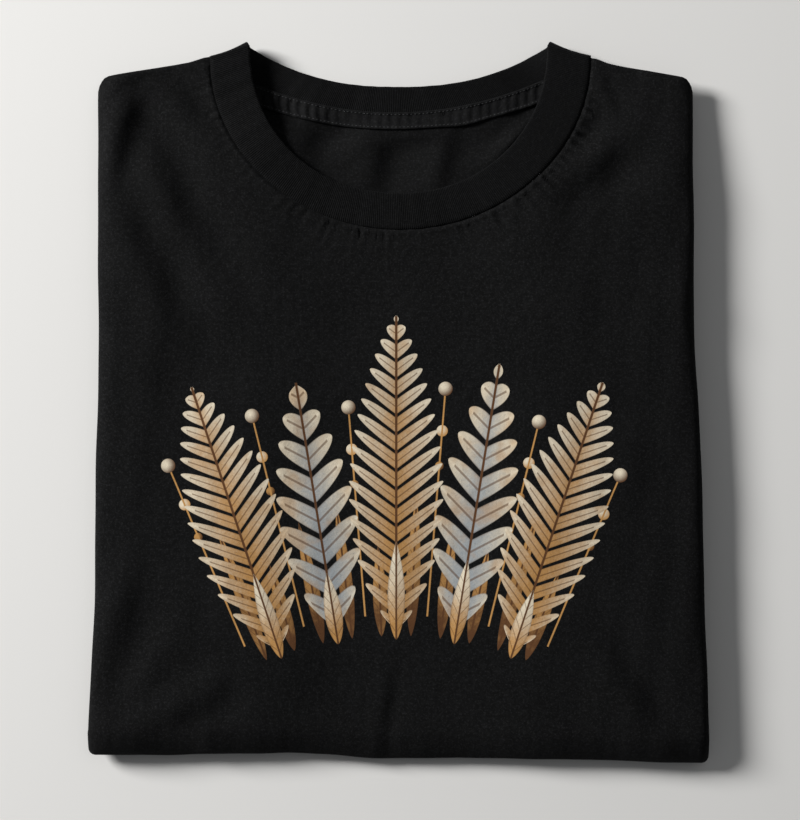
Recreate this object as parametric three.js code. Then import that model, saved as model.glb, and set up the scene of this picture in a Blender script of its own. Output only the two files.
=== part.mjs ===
// A short-sleeved crew-neck T-shirt, folded for a shelf and lying face up.
// Millimetres, +Z up. +Y runs towards the collar and +X to the right, seen from above.
// The origin is on the table, under the middle of the folded shirt.
//
// Each side of the shirt, with its sleeve, is turned in behind the back, and the lower half is then
// turned up behind both. So the front panel is the outer skin all round and the back panel lies inside
// it. Every layer is a flat sheet that folded() bends in the same way, at its own depth under the skin.

import * as THREE from 'three';
import { mergeVertices } from 'three/addons/utils/BufferGeometryUtils.js';

// The folded shirt from above
const TOP_HALF_WIDTH = 170;
const BOTTOM_HALF_WIDTH = 177;
const FLARE_START_Y = 60;
const BOTTOM_EDGE_Y = -203;
const BOTTOM_EDGE_SLANT = 0.0135;
const HEM_Y = 135;
const HEM_WIDTH = 20;
const UPPER_STRIP = 68;
const LOWER_STRIP = 88;

// Shoulder line, from the neck point outwards
const NECK_POINT_X = 87;
const NECK_POINT_Y = 205.4;
const COLLAR_SLOPE = 0.3;
const SHOULDER_SLOPE = 0.23;
const SHOULDER_X = 110;
const CORNER_RADIUS = 8;

// Layers: one layer of jersey with the air it holds, and the height of the whole stack
const CLOTH = 1.5;
const GAP = 0.3;
const LAYER_GAP = 0.4;
const ROLL = 3.9;
const STACK = 18.4;
const HALF_STACK = STACK / 2;

// How the top sinks in the middle, where fewer layers lie, and slopes down towards the collar
const DISH = 4;
const DISH_INNER_X = 30;
const DISH_OUTER_X = 85;
const DROP = 6;
const DROP_START_Y = 115;

// Collar: the free edge of the rib and the seam that joins it to the front, as half ellipses
const RIB_EDGE = { x: 0.3, y: NECK_POINT_Y, across: 87.4, down: 84.6 };
const RIB_SEAM = { x: 1.3, y: 198.6, across: 108.4, down: 98.9 };
const RIB_PROUD = 0.8;
const FRONT_SPLIT_Y = 99;

// The back of the neck, which lies lower than the front and forms the floor of the neck opening
const WELL_FLOOR = 6;
const WELL_START_Y = 75;
const WELL_END_Y = 122;
const WELL_INNER_X = 60;
const WELL_OUTER_X = 97;
const BACK_EDGE = { y: 181, half: NECK_POINT_X, rise: 24.4, power: 2.3 };
const BACK_SEAM = { y: 167.3, half: WELL_OUTER_X, rise: 24, power: 2.2 };
const TAPE_WIDTH = 10;
const TAPE_HALF = 84;
const TAPE_THICKNESS = 1;

// Sleeves, turned down flat between the two halves
const SLEEVE_INNER_X = 80;
const SLEEVE_OUTER_X = 158;
const SLEEVE_TOP_Y = 98;
const SLEEVE_CUFF_Y = -72;
const SLEEVE_TAPER = 8;
const SLEEVE_HEM = 20;
const SLEEVE_THICKNESS = 2.2;
const SLEEVE_CORNER = 10;

const { lerp, smoothstep } = THREE.MathUtils;

const jersey = { color: '#1c1d1f', roughness: 0.95, metalness: 0 };
const rib = { color: '#191a1b', roughness: 0.93, metalness: 0 };
const thread = { color: '#232426', roughness: 0.8, metalness: 0 };

const shirt = new THREE.Group();

function addMesh(name, geometry, look) {
  const mesh = new THREE.Mesh(geometry, new THREE.MeshStandardMaterial(look));
  mesh.name = name;
  shirt.add(mesh);
}

// --- Outline ---

function halfWidth(y) {
  return lerp(TOP_HALF_WIDTH, BOTTOM_HALF_WIDTH, 1 - smoothstep(y, BOTTOM_EDGE_Y, FLARE_START_Y));
}

function bottomEdge(x) {
  return BOTTOM_EDGE_Y - BOTTOM_EDGE_SLANT * x;
}

function shoulderLine(distance) {
  const collar = COLLAR_SLOPE * (Math.min(distance, SHOULDER_X) - NECK_POINT_X);
  const shoulder = SHOULDER_SLOPE * Math.max(distance - SHOULDER_X, 0);
  return NECK_POINT_Y - collar - shoulder;
}

function cornerDrop(distance) {
  const into = Math.max(distance - (TOP_HALF_WIDTH - CORNER_RADIUS), 0);
  return CORNER_RADIUS - Math.sqrt(CORNER_RADIUS ** 2 - Math.min(into, CORNER_RADIUS) ** 2);
}

// --- Heights ---

function skinHeight(x, y) {
  const dish = DISH * (1 - smoothstep(Math.abs(x), DISH_INNER_X, DISH_OUTER_X));
  return STACK - dish - DROP * smoothstep(y, DROP_START_Y, NECK_POINT_Y);
}

function backHeight(x, y) {
  const intoWell = smoothstep(y, WELL_START_Y, WELL_END_Y);
  const inWell = intoWell * (1 - smoothstep(Math.abs(x), WELL_INNER_X, WELL_OUTER_X));
  return lerp(skinHeight(x, y) - CLOTH - LAYER_GAP, WELL_FLOOR, inWell);
}

// --- Folding ---

// Across a half: 0 to 1 is the flat from the centre line, 1 to 2 the rolled side edge and 2 to 3 the
// strip turned in under it. Negative values are the left side.
function across(place, depth, width, strip) {
  const side = Math.sign(place);
  const run = Math.abs(place);
  const flat = width - ROLL;
  if (run <= 1) {
    return { x: side * flat * run, depth };
  }
  if (run <= 2) {
    const angle = Math.PI * (run - 1);
    const radius = ROLL - depth;
    return { x: side * (flat + radius * Math.sin(angle)), depth: ROLL - radius * Math.cos(angle) };
  }
  return { x: side * (flat - strip * (run - 2)), depth: 2 * ROLL - depth };
}

// Along the shirt: 0 to 1 runs up the top half from the bottom fold, 0 to -1 round that fold and
// -1 to -2 up the underside to the hem. The depth is measured in from the outer skin.
function folded(place, along, depth, topEdge) {
  if (along >= 0) {
    const guess = across(place, depth, TOP_HALF_WIDTH, UPPER_STRIP);
    const start = bottomEdge(guess.x) + HALF_STACK;
    const y = lerp(start, topEdge(Math.abs(guess.x)), along);
    const spot = across(place, depth, halfWidth(y), UPPER_STRIP);
    const sunk = spot.depth > ROLL ? skinHeight(TOP_HALF_WIDTH, y) : skinHeight(spot.x, y);
    return new THREE.Vector3(spot.x, y, sunk - spot.depth);
  }
  if (along >= -1) {
    const spot = across(place, depth, BOTTOM_HALF_WIDTH, LOWER_STRIP);
    const angle = -Math.PI * along;
    const radius = HALF_STACK - spot.depth;
    const inDish = spot.depth > ROLL ? 0 : STACK - skinHeight(spot.x, BOTTOM_EDGE_Y);
    const sunk = inDish * Math.cos(angle / 2) ** 2;
    const y = bottomEdge(spot.x) + HALF_STACK - radius * Math.sin(angle);
    const z = HALF_STACK - sunk + radius * Math.cos(angle);
    return new THREE.Vector3(spot.x, y, z);
  }
  const run = -along - 1;
  const start = across(place, depth, BOTTOM_HALF_WIDTH, LOWER_STRIP);
  const y = lerp(bottomEdge(start.x) + HALF_STACK, HEM_Y, run);
  const spot = across(place, depth, halfWidth(y), LOWER_STRIP);
  return new THREE.Vector3(spot.x, y, spot.depth);
}

// --- Sheets ---

// Even steps through each stretch given as [from, to, steps]
function stations(...stretches) {
  const list = [stretches[0][0]];
  for (const [from, to, steps] of stretches) {
    for (let step = 1; step <= steps; step += 1) {
      list.push(lerp(from, to, step / steps));
    }
  }
  return list;
}

// A thin block with a grid of faces, each corner of which is moved to its place on the shirt
function bentSheet(columns, rows, place) {
  const block = new THREE.BoxGeometry(1, 1, 1, columns.length - 1, rows.length - 1, 1);
  block.deleteAttribute('normal');
  block.deleteAttribute('uv');
  const sheet = mergeVertices(block);
  const corners = sheet.getAttribute('position');
  for (let i = 0; i < corners.count; i += 1) {
    const column = columns[Math.round((corners.getX(i) + 0.5) * (columns.length - 1))];
    const row = rows[Math.round((corners.getY(i) + 0.5) * (rows.length - 1))];
    const spot = place(column, row, corners.getZ(i) > 0 ? 1 : 0);
    corners.setXYZ(i, spot.x, spot.y, spot.z);
  }
  sheet.computeVertexNormals();
  return sheet;
}

function addFoldedSheet(name, columns, rows, outerDepth, topEdge = shoulderEdge) {
  const place = (column, row, outer) => {
    return folded(column, row, outer ? outerDepth : outerDepth + CLOTH, topEdge);
  };
  addMesh(name, bentSheet(columns, rows, place), jersey);
}

function shoulderEdge(distance) {
  return shoulderLine(distance) - cornerDrop(distance);
}

// --- Front and back panels ---

const SIDES = [['left', -1], ['right', 1]];
const SMALL = 0.002;
const LAYERS = [['front', 0, FRONT_SPLIT_Y], ['back', CLOTH + LAYER_GAP, WELL_START_Y]];

function ordered(side, list) {
  return side > 0 ? list : list.map((value) => -value).reverse();
}

const hemStart = -2 + HEM_WIDTH / (HEM_Y - BOTTOM_EDGE_Y - HALF_STACK);
const flatColumns = stations([-1 + SMALL, 1 - SMALL, 16]);
const sideColumns = stations([1, 2, 6], [2, 3, 2]);
const allColumns = stations([-3, -2, 2], [-2, -1, 6], [-1, 1, 12], [1, 2, 6], [2, 3, 2]);
const lowerRows = stations([hemStart + SMALL, -1 - SMALL, 4]);

for (const [panel, depth, splitY] of LAYERS) {
  addFoldedSheet(`${panel}_chest`, flatColumns, stations([SMALL, 1, 8]), depth, () => splitY);
  addFoldedSheet(`${panel}_bottom_fold`, allColumns, stations([-1, 0, 8]), depth);
  addFoldedSheet(`${panel}_underside`, stations([-1 + SMALL, 1 - SMALL, 2]), lowerRows, depth);
  addFoldedSheet(`${panel}_hem`, allColumns, [-2, hemStart], depth);
  for (const [hand, side] of SIDES) {
    const columns = ordered(side, sideColumns);
    addFoldedSheet(`${panel}_side_upper_${hand}`, columns, stations([SMALL, 1, 9]), depth);
    addFoldedSheet(`${panel}_side_lower_${hand}`, columns, lowerRows, depth);
  }
}

// --- Shoulders ---

function onEllipse(ellipse, angle) {
  const x = ellipse.x + ellipse.across * Math.sin(angle);
  return new THREE.Vector2(x, ellipse.y - ellipse.down * Math.cos(angle));
}

// Between the rib seam and the rolled side edge. Rows follow the seam from the centre to the shoulder.
function frontShoulder(side) {
  const seam = { ...RIB_SEAM, across: RIB_SEAM.across + GAP, down: RIB_SEAM.down + GAP };
  const shoulder = shoulderEdge(TOP_HALF_WIDTH - ROLL);
  const place = (column, row, outer) => {
    const inner = onEllipse(seam, side * row * Math.PI / 2);
    const away = Math.abs(column);
    const sideY = lerp(FRONT_SPLIT_Y + GAP, shoulder, row);
    const x = lerp(inner.x + side * GAP * (1 - row), side * (TOP_HALF_WIDTH - ROLL - GAP), away);
    const y = Math.max(lerp(inner.y, sideY, away), FRONT_SPLIT_Y + GAP);
    return new THREE.Vector3(x, y, skinHeight(x, y) - (outer ? 0 : CLOTH));
  };
  return bentSheet(ordered(side, stations([0, 1, 7])), stations([0, 1, 10]), place);
}

function backShoulder(side) {
  const place = (column, row, outer) => {
    const x = side * lerp(WELL_OUTER_X + GAP, TOP_HALF_WIDTH - ROLL - GAP, Math.abs(column));
    const y = lerp(WELL_START_Y + GAP, shoulderEdge(Math.abs(x)), row);
    return new THREE.Vector3(x, y, backHeight(x, y) - (outer ? 0 : CLOTH));
  };
  return bentSheet(ordered(side, stations([0, 1, 4])), stations([0, 1, 8]), place);
}

for (const [hand, side] of SIDES) {
  addMesh(`front_shoulder_${hand}`, frontShoulder(side), jersey);
  addMesh(`back_shoulder_${hand}`, backShoulder(side), jersey);
}

// --- Neck ---

function riseOf(curve, share) {
  return curve.y + curve.rise * Math.abs(share) ** curve.power;
}

function backYoke() {
  const place = (column, row, outer) => {
    const x = column * WELL_OUTER_X;
    const y = lerp(WELL_START_Y + GAP, riseOf(BACK_SEAM, column) - GAP, row);
    return new THREE.Vector3(x, y, backHeight(x, y) - (outer ? 0 : CLOTH));
  };
  return bentSheet(stations([-1, 1, 14]), stations([0, 1, 9]), place);
}

function frontCollar() {
  const place = (column, row, outer) => {
    const angle = column * Math.PI / 2;
    const spot = onEllipse(RIB_SEAM, angle).lerp(onEllipse(RIB_EDGE, angle), row);
    const height = skinHeight(spot.x, spot.y);
    return new THREE.Vector3(spot.x, spot.y, height + (outer ? RIB_PROUD : -CLOTH));
  };
  return bentSheet(stations([-1, 1, 32]), stations([0, 1, 3]), place);
}

function backCollar() {
  const place = (column, row, outer) => {
    const x = column * lerp(BACK_SEAM.half, BACK_EDGE.half, row);
    const y = lerp(riseOf(BACK_SEAM, column), riseOf(BACK_EDGE, column), row);
    return new THREE.Vector3(x, y, backHeight(x, y) - (outer ? 0 : CLOTH));
  };
  return bentSheet(stations([-1, 1, 20]), [0, 1], place);
}

function neckTape() {
  const place = (column, row, outer) => {
    const x = column * TAPE_HALF;
    const y = riseOf(BACK_SEAM, x / BACK_SEAM.half) - TAPE_WIDTH * (1 - row);
    const height = backHeight(x, y) + GAP;
    return new THREE.Vector3(x, y, height + (outer ? TAPE_THICKNESS : 0));
  };
  return bentSheet(stations([-1, 1, 20]), [0, 1], place);
}

addMesh('back_yoke', backYoke(), jersey);
addMesh('collar_front', frontCollar(), rib);
addMesh('collar_back', backCollar(), rib);
addMesh('neck_tape', neckTape(), thread);

// --- Sleeves ---

// A flat four-sided outline with round corners
function roundedOutline(corners) {
  const shape = new THREE.Shape();
  corners.forEach((corner, i) => {
    const before = corners[(i + corners.length - 1) % corners.length];
    const after = corners[(i + 1) % corners.length];
    const start = corner.clone().add(before.clone().sub(corner).setLength(SLEEVE_CORNER));
    const end = corner.clone().add(after.clone().sub(corner).setLength(SLEEVE_CORNER));
    if (i === 0) {
      shape.moveTo(start.x, start.y);
    } else {
      shape.lineTo(start.x, start.y);
    }
    shape.quadraticCurveTo(corner.x, corner.y, end.x, end.y);
  });
  shape.closePath();
  return shape;
}

// A stretch of sleeve between two heights along the shirt, narrowing towards the cuff
function sleeveStretch(side, topY, bottomY) {
  const length = SLEEVE_TOP_Y - SLEEVE_CUFF_Y;
  const outerX = (y) => SLEEVE_OUTER_X - SLEEVE_TAPER * (SLEEVE_TOP_Y - y) / length;
  const corners = [
    new THREE.Vector2(side * SLEEVE_INNER_X, bottomY),
    new THREE.Vector2(side * outerX(bottomY), bottomY),
    new THREE.Vector2(side * outerX(topY), topY),
    new THREE.Vector2(side * SLEEVE_INNER_X, topY),
  ];
  const settings = { depth: SLEEVE_THICKNESS, bevelEnabled: false, curveSegments: 4 };
  const stretch = new THREE.ExtrudeGeometry(roundedOutline(corners), settings);
  stretch.translate(0, 0, HALF_STACK - SLEEVE_THICKNESS / 2);
  return stretch;
}

for (const [hand, side] of SIDES) {
  const hemTop = SLEEVE_CUFF_Y + SLEEVE_HEM;
  addMesh(`sleeve_${hand}`, sleeveStretch(side, SLEEVE_TOP_Y, hemTop + GAP), jersey);
  addMesh(`sleeve_hem_${hand}`, sleeveStretch(side, hemTop, SLEEVE_CUFF_Y), jersey);
}

export default shirt;
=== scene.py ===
"""A short-sleeved crew-neck T-shirt in washed black jersey, folded for a shelf and lying face up.

The shirt is sewn from flat sheets: a front, a back, two sleeves, a rib collar and a neck tape. Each sheet is
bent by the same folds as the solids of the frame, at its own depth under the outer skin, and then gets its
creases, puckers and stitches. Everything is in metres, in the frame of the solids.
"""
import math

import bpy
import numpy as np
from bpy.props import FloatProperty, FloatVectorProperty, IntProperty, PointerProperty
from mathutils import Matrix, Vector


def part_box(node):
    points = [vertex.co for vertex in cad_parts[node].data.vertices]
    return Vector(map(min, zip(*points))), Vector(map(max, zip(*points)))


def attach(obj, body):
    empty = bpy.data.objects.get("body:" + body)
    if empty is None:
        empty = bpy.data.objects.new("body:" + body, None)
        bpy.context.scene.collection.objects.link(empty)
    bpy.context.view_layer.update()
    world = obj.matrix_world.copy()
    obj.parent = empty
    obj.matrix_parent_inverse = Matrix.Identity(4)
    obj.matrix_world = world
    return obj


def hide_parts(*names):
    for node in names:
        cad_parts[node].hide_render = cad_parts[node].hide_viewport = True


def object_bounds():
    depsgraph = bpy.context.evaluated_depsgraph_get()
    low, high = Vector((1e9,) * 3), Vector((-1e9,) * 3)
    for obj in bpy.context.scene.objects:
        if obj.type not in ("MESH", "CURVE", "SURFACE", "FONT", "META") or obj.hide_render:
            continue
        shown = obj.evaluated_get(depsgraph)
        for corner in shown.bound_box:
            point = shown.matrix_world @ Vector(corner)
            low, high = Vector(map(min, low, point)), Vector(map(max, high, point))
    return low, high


bl_info = {
    "name": "Folded T-shirt",
    "version": (1, 0, 0),
    "blender": (4, 5, 0),
    "location": "3D View > Sidebar > T-shirt",
    "description": "Builds a folded crew-neck T-shirt around its packed frame",
    "category": "Add Mesh",
}

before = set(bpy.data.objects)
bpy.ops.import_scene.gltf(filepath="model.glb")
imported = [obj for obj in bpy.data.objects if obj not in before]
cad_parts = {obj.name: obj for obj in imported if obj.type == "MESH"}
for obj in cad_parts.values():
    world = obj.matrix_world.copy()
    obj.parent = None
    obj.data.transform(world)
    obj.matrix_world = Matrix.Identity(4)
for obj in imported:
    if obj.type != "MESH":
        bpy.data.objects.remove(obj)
CAD_BOX = [list(corner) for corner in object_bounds()]

MM = 0.001
LOW, HIGH = np.array(CAD_BOX)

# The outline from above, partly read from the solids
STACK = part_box("front_chest")[1].z
HALF_STACK = STACK / 2
NECK_POINT_X = 84.6 * MM
NECK_POINT_Y = HIGH[1]
HEM_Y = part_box("front_hem")[1].y
HEM_WIDTH = 20 * MM
RIB_LOW, RIB_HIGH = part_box("collar_front")
SEAM_X = (RIB_LOW.x + RIB_HIGH.x) / 2
SEAM_ACROSS = (RIB_HIGH.x - RIB_LOW.x) / 2
SEAM_DOWN = 98.9 * MM
SEAM_Y = RIB_LOW.y + SEAM_DOWN
ARMHOLE_Y = SEAM_Y - 14 * MM
STRIP_LENGTH = {"upper": 68 * MM, "lower": 88 * MM}
ROLL = 3.9 * MM
CORNER_RADIUS = 7 * MM

# The free edge of the rib
EDGE_X = 0.3 * MM
EDGE_Y = NECK_POINT_Y - 0.9 * MM
EDGE_ACROSS = 84.8 * MM
EDGE_DOWN = 84.0 * MM
EDGE_POWER = 2.1
BACK_EDGE_Y = 182 * MM
BACK_EDGE_POWER = 2.4
BACK_SEAM_Y = 161 * MM

# How deep the back panel lies under the outer skin, and the radius of the roll over the shoulders
BACK_DEPTH = 1.9 * MM
SHOULDER_ROLL = 1.45 * MM

# The soft edges: how far in the bottom fold starts, and how far the skin sinks towards the side edges
BOTTOM_REACH = 15 * MM
ROUNDNESS = 1.42
SIDE_FALL = 2.5 * MM
UNDER_FALL = 1.0 * MM
SIDE_FALL_REACH = 11 * MM

# How the top sinks in the middle and slopes down towards the collar
DISH = 4 * MM
DROP = 6 * MM
DROP_START_Y = 115 * MM
WELL_FLOOR = 6.0 * MM

UNDER_LENGTH = HEM_Y - LOW[1] - BOTTOM_REACH
QUARTER_TURN = math.pi / 2
FULL_TURN = 2 * math.pi


def smooth(value, low, high):
    """0 below low, 1 above high, and an easy curve between."""
    share = np.clip((value - low) / (high - low), 0, 1)
    return share * share * (3 - 2 * share)


def mix(a, b, share):
    return a + (b - a) * share


def hump(value, middle, reach):
    """1 at the middle, and close to 0 at twice the reach from it."""
    return np.exp(-((value - middle) / reach) ** 2)


def walk(points, axis=0):
    """How far each point of a row lies from the first one, along the row. A grid is walked along one axis."""
    lengths = np.cumsum(np.linalg.norm(np.diff(points, axis=axis), axis=-1), axis=axis)
    return np.concatenate([np.zeros_like(np.take(lengths, [0], axis)), lengths], axis)


# --- Properties ---

def length_setting(name, description, millimetres):
    return FloatProperty(name=name, description=description, default=millimetres * MM, unit="LENGTH")


def count_setting(name, description, default):
    return IntProperty(name=name, description=description, default=default, min=40, max=400)


def colour_setting(name, description, *default):
    return FloatVectorProperty(name=name, description=description, default=default, subtype="COLOR")


class ShirtCloth(bpy.types.PropertyGroup):
    """The jersey and how it is folded."""
    jersey_thickness: length_setting("Jersey thickness", "Thickness of one layer", 0.95)
    hem_thickness: length_setting("Hem thickness", "Thickness of a turned-up hem", 1.7)
    crease: FloatProperty(
        name="Creases", description="Strength of the soft creases", default=1.0, min=0, max=2)
    pucker: length_setting("Puckers", "Height of the puckers along the collar seam", 0.9)
    columns: count_setting("Columns", "Grid columns across the chest", 222)
    rows: count_setting("Rows", "Grid rows up the chest", 150)


class ShirtTrim(bpy.types.PropertyGroup):
    """The rib collar, neck tape and stitches."""
    rib_thickness: length_setting("Rib thickness", "Thickness of the doubled rib", 2.3)
    rib_pitch: length_setting("Rib pitch", "Distance between ribs", 1.05)
    tape_thickness: length_setting("Tape thickness", "Thickness of the neck tape", 0.8)
    stitch_pitch: length_setting("Stitch pitch", "Distance between stitches", 2.3)
    stitch_width: length_setting("Stitch width", "Thickness of the sewing thread", 0.40)


class ShirtColours(bpy.types.PropertyGroup):
    """Colours of cloth, thread and ink."""
    jersey: colour_setting("Jersey", "Dyed jersey", 0.0018, 0.0018, 0.0018)
    jersey_worn: colour_setting("Worn jersey", "Paler, washed fibres", 0.0128, 0.0129, 0.0134)
    rib: colour_setting("Rib", "Rib knit", 0.0013, 0.0013, 0.0013)
    tape: colour_setting("Tape", "Neck tape", 0.0035, 0.0035, 0.0036)
    thread: colour_setting("Thread", "Sewing thread", 0.0400, 0.0405, 0.0414)
    ivory: colour_setting("Ivory ink", "Lightest ink", 0.66, 0.58, 0.44)
    ochre: colour_setting("Ochre ink", "Warm ink", 0.42, 0.22, 0.07)
    brown: colour_setting("Brown ink", "Dark ink of veins", 0.085, 0.036, 0.014)
    slate: colour_setting("Slate ink", "Cool ink", 0.30, 0.34, 0.36)
    floor: colour_setting("Floor", "Pale floor", 0.66, 0.65, 0.63)


# --- Outline ---

def side_edge(y, side):
    """Distance from the centre line to the side fold at height y, on the left (-1) or right (1)."""
    down = -y / MM
    left = 171.2 - 0.6 * smooth(down, -110, -60) + 2.4 * smooth(down, -60, 110)
    left += 4.0 * smooth(down, 110, 200)
    right = 168.5 + 5.9 * smooth(down, -75, 90) + 3.1 * smooth(down, 100, 190)
    ripple = 0.25 * np.sin(down / 17 + 0.6 * side) + 0.1 * np.sin(down / 8.3 + 2 * side)
    return (np.where(side < 0, left, right) + ripple * smooth(200 - abs(down), 0, 30)) * MM


def bottom_edge(x):
    """Height of the bottom fold, which steps down a little towards the right."""
    across = x / MM
    down = 2.0 * smooth(across, -45, -5) + 0.4 * smooth(across, 20, 80) + 2.4 * smooth(across, 90, 165)
    humps = 0.8 * hump(across, -60, 35) - 0.5 * hump(across, -5, 40)
    ripple = 0.25 * np.sin(across / 19) + 0.12 * np.sin(across / 8.7 + 1)
    return (-200.1 - down + humps + ripple) * MM


def shoulder_line(distance, side):
    """Height of the shoulder line at this distance from the centre. The right one lies a little lower."""
    out = distance / MM
    collar = 0.27 * (np.minimum(out, 108) - NECK_POINT_X / MM)
    step = 0.33 * np.clip(out - 108, 0, 11)
    slope = 0.175 * np.maximum(out - 119, 0) + 0.9 * (side > 0) * smooth(out, 112, 126)
    return NECK_POINT_Y - (collar + step + slope) * MM - SHOULDER_ROLL


def corner_drop(x, edge):
    """How far the round corner at the end of the shoulder line lies under that line."""
    into = np.clip(np.abs(x) - (edge - CORNER_RADIUS), 0, CORNER_RADIUS)
    return CORNER_RADIUS - np.sqrt(np.maximum(CORNER_RADIUS ** 2 - into ** 2, 0))


def seam_point(angle):
    """The front seam of the collar: -90 to 90 degrees runs from the left shoulder to the right one."""
    return SEAM_X + SEAM_ACROSS * np.sin(angle), SEAM_Y - SEAM_DOWN * np.cos(angle)


def beyond_seam(x, y):
    """Distance outside the collar seam."""
    stretch = np.hypot((x - SEAM_X) / SEAM_ACROSS, (y - SEAM_Y) / SEAM_DOWN)
    return (stretch - 1) * (SEAM_ACROSS + SEAM_DOWN) / 2


def back_seam_y(x):
    """The seam of the collar at the back of the neck."""
    share = np.abs((x - SEAM_X) / SEAM_ACROSS)
    return BACK_SEAM_Y + (SEAM_Y - BACK_SEAM_Y) * share ** 2.2


def back_edge_point(share):
    """The free edge of the rib at the back of the neck, from -1 on the left to 1 on the right."""
    return EDGE_X + EDGE_ACROSS * share, mix(BACK_EDGE_Y, EDGE_Y, np.abs(share) ** BACK_EDGE_POWER)


# --- Creases ---

# The way up the slope of a crease
HIGH_SIDE = (-0.9, 0.43)

# Soft creases of the chest, group by group. Each has the points of its line, its half width and its height in
# millimetres. The cloth falls across the line from the upper left, or rises where the height is below zero.
LEFT_SHOULDER_CREASES = (
    (((-149, 182), (-154, 156), (-160, 126)), 11, 8.0),
    (((-147, 172), (-129, 125), (-110, 88)), 14, 7.6),
    (((-110, 92), (-91, 55)), 16, 3.2),
    (((-158, 120), (-142, 88), (-122, 46)), 15, 7.6),
    (((-126, 50), (-118, 14)), 18, 3.0),
    (((-134, 186), (-119, 168), (-96, 148)), 12, 6.4),
    (((-169, 169), (-158, 181), (-143, 189)), 6, 1.8),
    (((-61, 112), (-62, 94)), 7, 0.8),
)
LEFT_SIDE_CREASES = (
    (((-141, 43), (-133, -9), (-142, -55)), 20, 3.0),
    (((-143, -80), (-151, -112), (-167, -151)), 12, 2.8),
    (((-126, -112), (-141, -140), (-163, -177)), 10, -2.2),
    (((-93, -140), (-125, -160), (-162, -185)), 9, -1.3),
    (((-88, -158), (-120, -177), (-163, -194)), 10, 3.4),
)
RIGHT_SHOULDER_CREASES = (
    (((90, 117), (113, 131), (138, 152)), 12, 4.0),
    (((88, 133), (107, 145), (126, 161)), 9, -1.8),
    (((144, 145), (138, 117)), 13, -1.8),
    (((115, 177), (111, 161), (101, 148)), 5, 1.3),
    (((115, 193), (119, 179), (125, 167)), 5, 1.7),
    (((131, 192), (134, 183)), 4, 0.9),
    (((57, 115), (56, 96)), 5, 1.1),
    (((66, 117), (69, 101)), 5, 1.3),
)
BOTTOM_CREASES = (
    (((144, -29), (141, -89)), 14, 1.3),
    (((117, -138), (138, -168), (160, -191)), 11, 4.8),
    (((-3, -148), (-6, -173), (-11, -195)), 6, 1.8),
)
CHEST_CREASES = LEFT_SHOULDER_CREASES + LEFT_SIDE_CREASES + RIGHT_SHOULDER_CREASES + BOTTOM_CREASES

# The same for the back panel where it shows inside the neck
NECK_CREASES = (
    (((-6, 152), (-9, 137), (-13, 121)), 11, 6.0),
    (((-2, 151), (20, 150)), 7, 4.0),
    (((27, 147), (27, 134), (23, 121)), 8, 3.6),
    (((34, 158), (32, 138)), 10, 4.0),
    (((-40, 145), (-30, 152), (-15, 156)), 9, -4.6),
    (((46, 143), (61, 152), (80, 167)), 7, -2.6),
    (((52, 129), (67, 140), (81, 153)), 8, 5.6),
    (((-45, 161), (-51, 150), (-50, 138)), 12, 5.0),
)


def crease_heights(x, y, creases):
    """Heights of soft creases: each is a row of round tilted bumps that melt into each other."""
    total = np.zeros_like(x)
    for line, half_width, height in creases:
        points, width = np.array(line) * MM, half_width * MM
        reach = walk(points)
        count = max(math.ceil(reach[-1] / (0.8 * width)), 3)
        size = height * MM * reach[-1] / count / (width * math.sqrt(math.pi))

        def at(share):
            return np.array([np.interp(share * reach[-1], reach, points[:, i]) for i in (0, 1)])

        for share in (np.arange(count) + 0.5) / count:
            run_x, run_y = at(share + 0.2) - at(share - 0.2)
            high = np.array([-run_y, run_x]) / math.hypot(run_x, run_y)
            high *= math.copysign(1, high @ HIGH_SIDE)
            from_x, from_y = x - at(share)[0], y - at(share)[1]
            tilt = (from_x * high[0] + from_y * high[1]) / width
            bump = np.exp(-(from_x ** 2 + from_y ** 2) / width ** 2)
            total += size * math.sin(math.pi * share) ** 0.5 * tilt * bump
    return total


def waves(x, y, seed, count, shortest, longest, lean=0.0, spread=math.pi):
    """Smooth uneven waves, from a seeded sum of sines. They run at the angle lean, within half of spread."""
    rng = np.random.default_rng(seed)
    total = np.zeros_like(x)
    for _ in range(count):
        length = shortest * (longest / shortest) ** rng.random()
        angle = lean + spread * (rng.random() - 0.5)
        phase = rng.random() * FULL_TURN
        total += np.sin((x * math.cos(angle) + y * math.sin(angle)) * FULL_TURN / length + phase)
    return total / math.sqrt(count)


def pucker_heights(x, y):
    """Small gathers that run out from the collar seam."""
    out = beyond_seam(x, y)
    angle = np.arctan2(x - SEAM_X, SEAM_Y - y)
    run = angle * (SEAM_ACROSS + SEAM_DOWN) / 2
    ripple = waves(run, out * 0.35, 11, 9, 4.4 * MM, 8 * MM, 0.0, 0.5)
    strength = 0.2 + 0.8 * smooth(angle, -0.75, -0.45) * (1 - smooth(angle, 1.1, 1.5))
    reach = smooth(out, 0, 2.4 * MM) * np.exp(-(np.maximum(out - 2.4 * MM, 0) / (8 * MM)) ** 1.4)
    return bpy.context.scene.shirt_cloth.pucker * ripple * strength * reach * smooth(y, 60 * MM, 90 * MM)


# --- Heights ---

def sink(x, y):
    """How far the top lies under the height of the stack."""
    dish = DISH * (1 - smooth(np.abs(x), 25 * MM, 88 * MM))
    return dish + DROP * smooth(y, DROP_START_Y, NECK_POINT_Y)


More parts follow.
